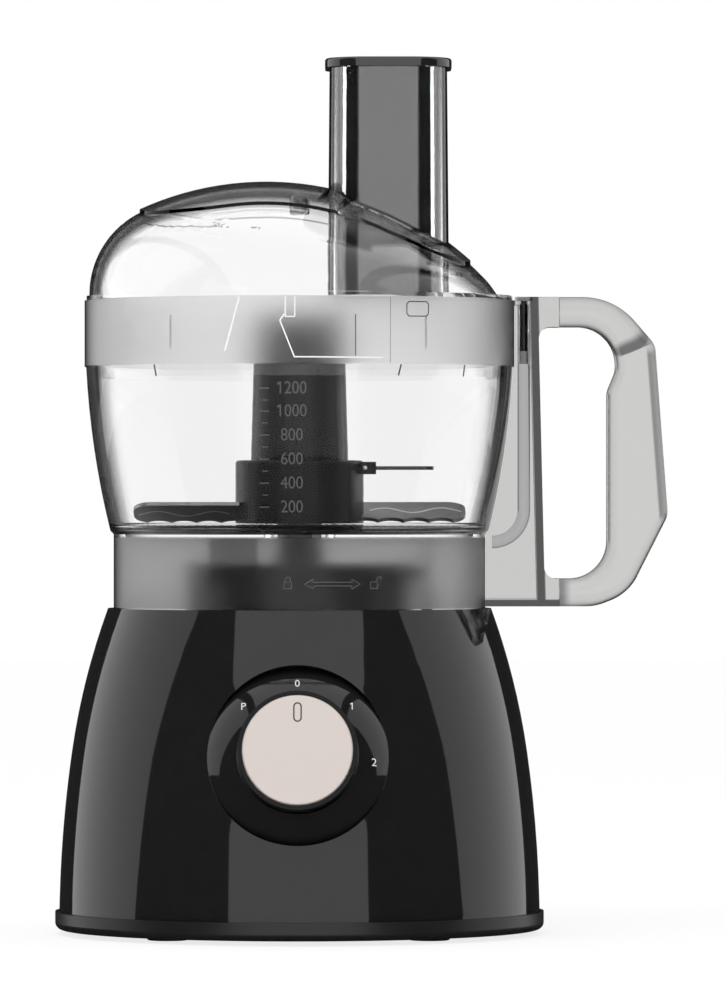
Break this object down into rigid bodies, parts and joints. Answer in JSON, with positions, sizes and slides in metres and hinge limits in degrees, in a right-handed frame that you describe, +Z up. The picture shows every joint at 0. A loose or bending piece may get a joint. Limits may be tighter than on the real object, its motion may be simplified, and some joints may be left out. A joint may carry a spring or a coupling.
{
  "type": "food processor",
  "caption": "Countertop food processor with a bell-shaped motor base and dial, clear twist-lock bowl with loop handle, domed lid with feed chute and pusher, and a lift-out blade.",
  "frame": {"origin": "on the drive axis, at the table under the feet", "axes": "+Z up along the drive axis, handle along +X, dial facing -Y"},
  "size_m": [0.269, 0.2258, 0.3839],
  "materials": {
    "shell_black": "high gloss black moulding",
    "plate_grey": "satin dark grey",
    "rubber": "matte black rubber",
    "screw_steel": "zinc plated",
    "bezel_black": "satin black",
    "cap_champagne": "champagne, spun metal look",
    "inner_plastic": "plain moulding",
    "shaft_steel": "ground",
    "bush_bronze": "sintered bronze",
    "lamination": "stacked sheet steel",
    "copper": "enamelled copper wire",
    "bracket": "die cast",
    "carbon": "carbon",
    "bowl_clear": "clear, with a frosted rim band and skirt",
    "handle_smoke": "translucent grey",
    "pin_dark": "dark grey",
    "lid_clear": "clear",
    "pusher_black": "gloss black",
    "hub_black": "satin black",
    "blade_steel": "stainless sheet"
  },
  "bodies": {
    "base": {"base_housing": "shell_black", "base_plate": "plate_grey", "rubber_foot_1": "rubber", "rubber_foot_2": "rubber", "rubber_foot_3": "rubber", "rubber_foot_4": "rubber", "base_screw_1": "screw_steel", "base_screw_2": "screw_steel", "base_screw_3": "screw_steel", "base_screw_4": "screw_steel", "dial_bezel": "bezel_black", "cord_gland": "rubber", "rotary_switch": "inner_plastic", "safety_switch": "inner_plastic", "spindle_bush_1": "bush_bronze", "spindle_bush_2": "bush_bronze", "drive_belt": "rubber", "motor_stator": "lamination", "field_coil_1": "copper", "field_coil_2": "copper", "motor_bottom_bracket": "bracket", "motor_top_bracket": "bracket", "motor_bush_1": "bush_bronze", "motor_bush_2": "bush_bronze", "motor_mount_1": "rubber", "motor_mount_2": "rubber", "motor_screw_1": "screw_steel", "motor_screw_2": "screw_steel", "carbon_brush_1": "carbon", "carbon_brush_2": "carbon", "brush_holder_1": "inner_plastic", "brush_holder_2": "inner_plastic"},
    "spindle": {"drive_spindle": "shaft_steel", "spindle_clip": "screw_steel", "drive_post": "inner_plastic", "big_pulley": "inner_plastic", "blade_hub": "hub_black", "lower_blade_1": "blade_steel", "lower_blade_2": "blade_steel", "upper_blade": "blade_steel"},
    "rotor": {"rotor_shaft": "shaft_steel", "armature_core": "lamination", "armature_winding": "copper", "commutator": "copper", "cooling_fan": "inner_plastic", "small_pulley": "shaft_steel"},
    "knob": {"knob_body": "bezel_black", "knob_cap": "cap_champagne", "switch_shaft": "shaft_steel"},
    "plunger": {"safety_plunger": "inner_plastic"},
    "bowl": {"bowl": "bowl_clear", "handle_web": "handle_smoke", "handle_grip": "handle_smoke"},
    "interlock": {"interlock_pin": "pin_dark"},
    "lid": {"lid": "lid_clear", "feed_chute": "lid_clear"},
    "pusher": {"pusher": "pusher_black"}
  },
  "joints": [
    {"name": "spindle_spin", "type": "hinge", "parent": "base", "child": "spindle", "pos_m": [0, 0, 0.2], "axis": [0, 0, 1], "continuous": true},
    {"name": "rotor_spin", "type": "hinge", "parent": "base", "child": "rotor", "pos_m": [-0.036, 0.0429, 0.06], "axis": [0, 0, 1], "continuous": true},
    {"name": "dial_turn", "type": "hinge", "parent": "base", "child": "knob", "pos_m": [0, -0.0926, 0.0803], "axis": [0, 0.9848, -0.1736], "range_deg": [-50, 100]},
    {"name": "plunger_press", "type": "slide", "parent": "base", "child": "plunger", "axis": [0, 0, 1], "range_m": [-0.003, 0], "stiffness_N_per_m": 300},
    {"name": "bowl_twist", "type": "hinge", "parent": "base", "child": "bowl", "pos_m": [0, 0, 0.16], "axis": [0, 0, 1], "range_deg": [0, 35]},
    {"name": "interlock_press", "type": "slide", "parent": "bowl", "child": "interlock", "axis": [0, 0, 1], "range_m": [-0.004, 0], "stiffness_N_per_m": 200},
    {"name": "lid_lift", "type": "slide", "parent": "bowl", "child": "lid", "axis": [0, 0, 1], "range_m": [0, 0.11]},
    {"name": "pusher_lift", "type": "slide", "parent": "lid", "child": "pusher", "axis": [0, 0, 1], "range_m": [0, 0.105]}
  ],
  "couplings": [
    {"joint": "rotor_spin", "follows": "spindle_spin", "ratio": 4.7778}
  ]
}
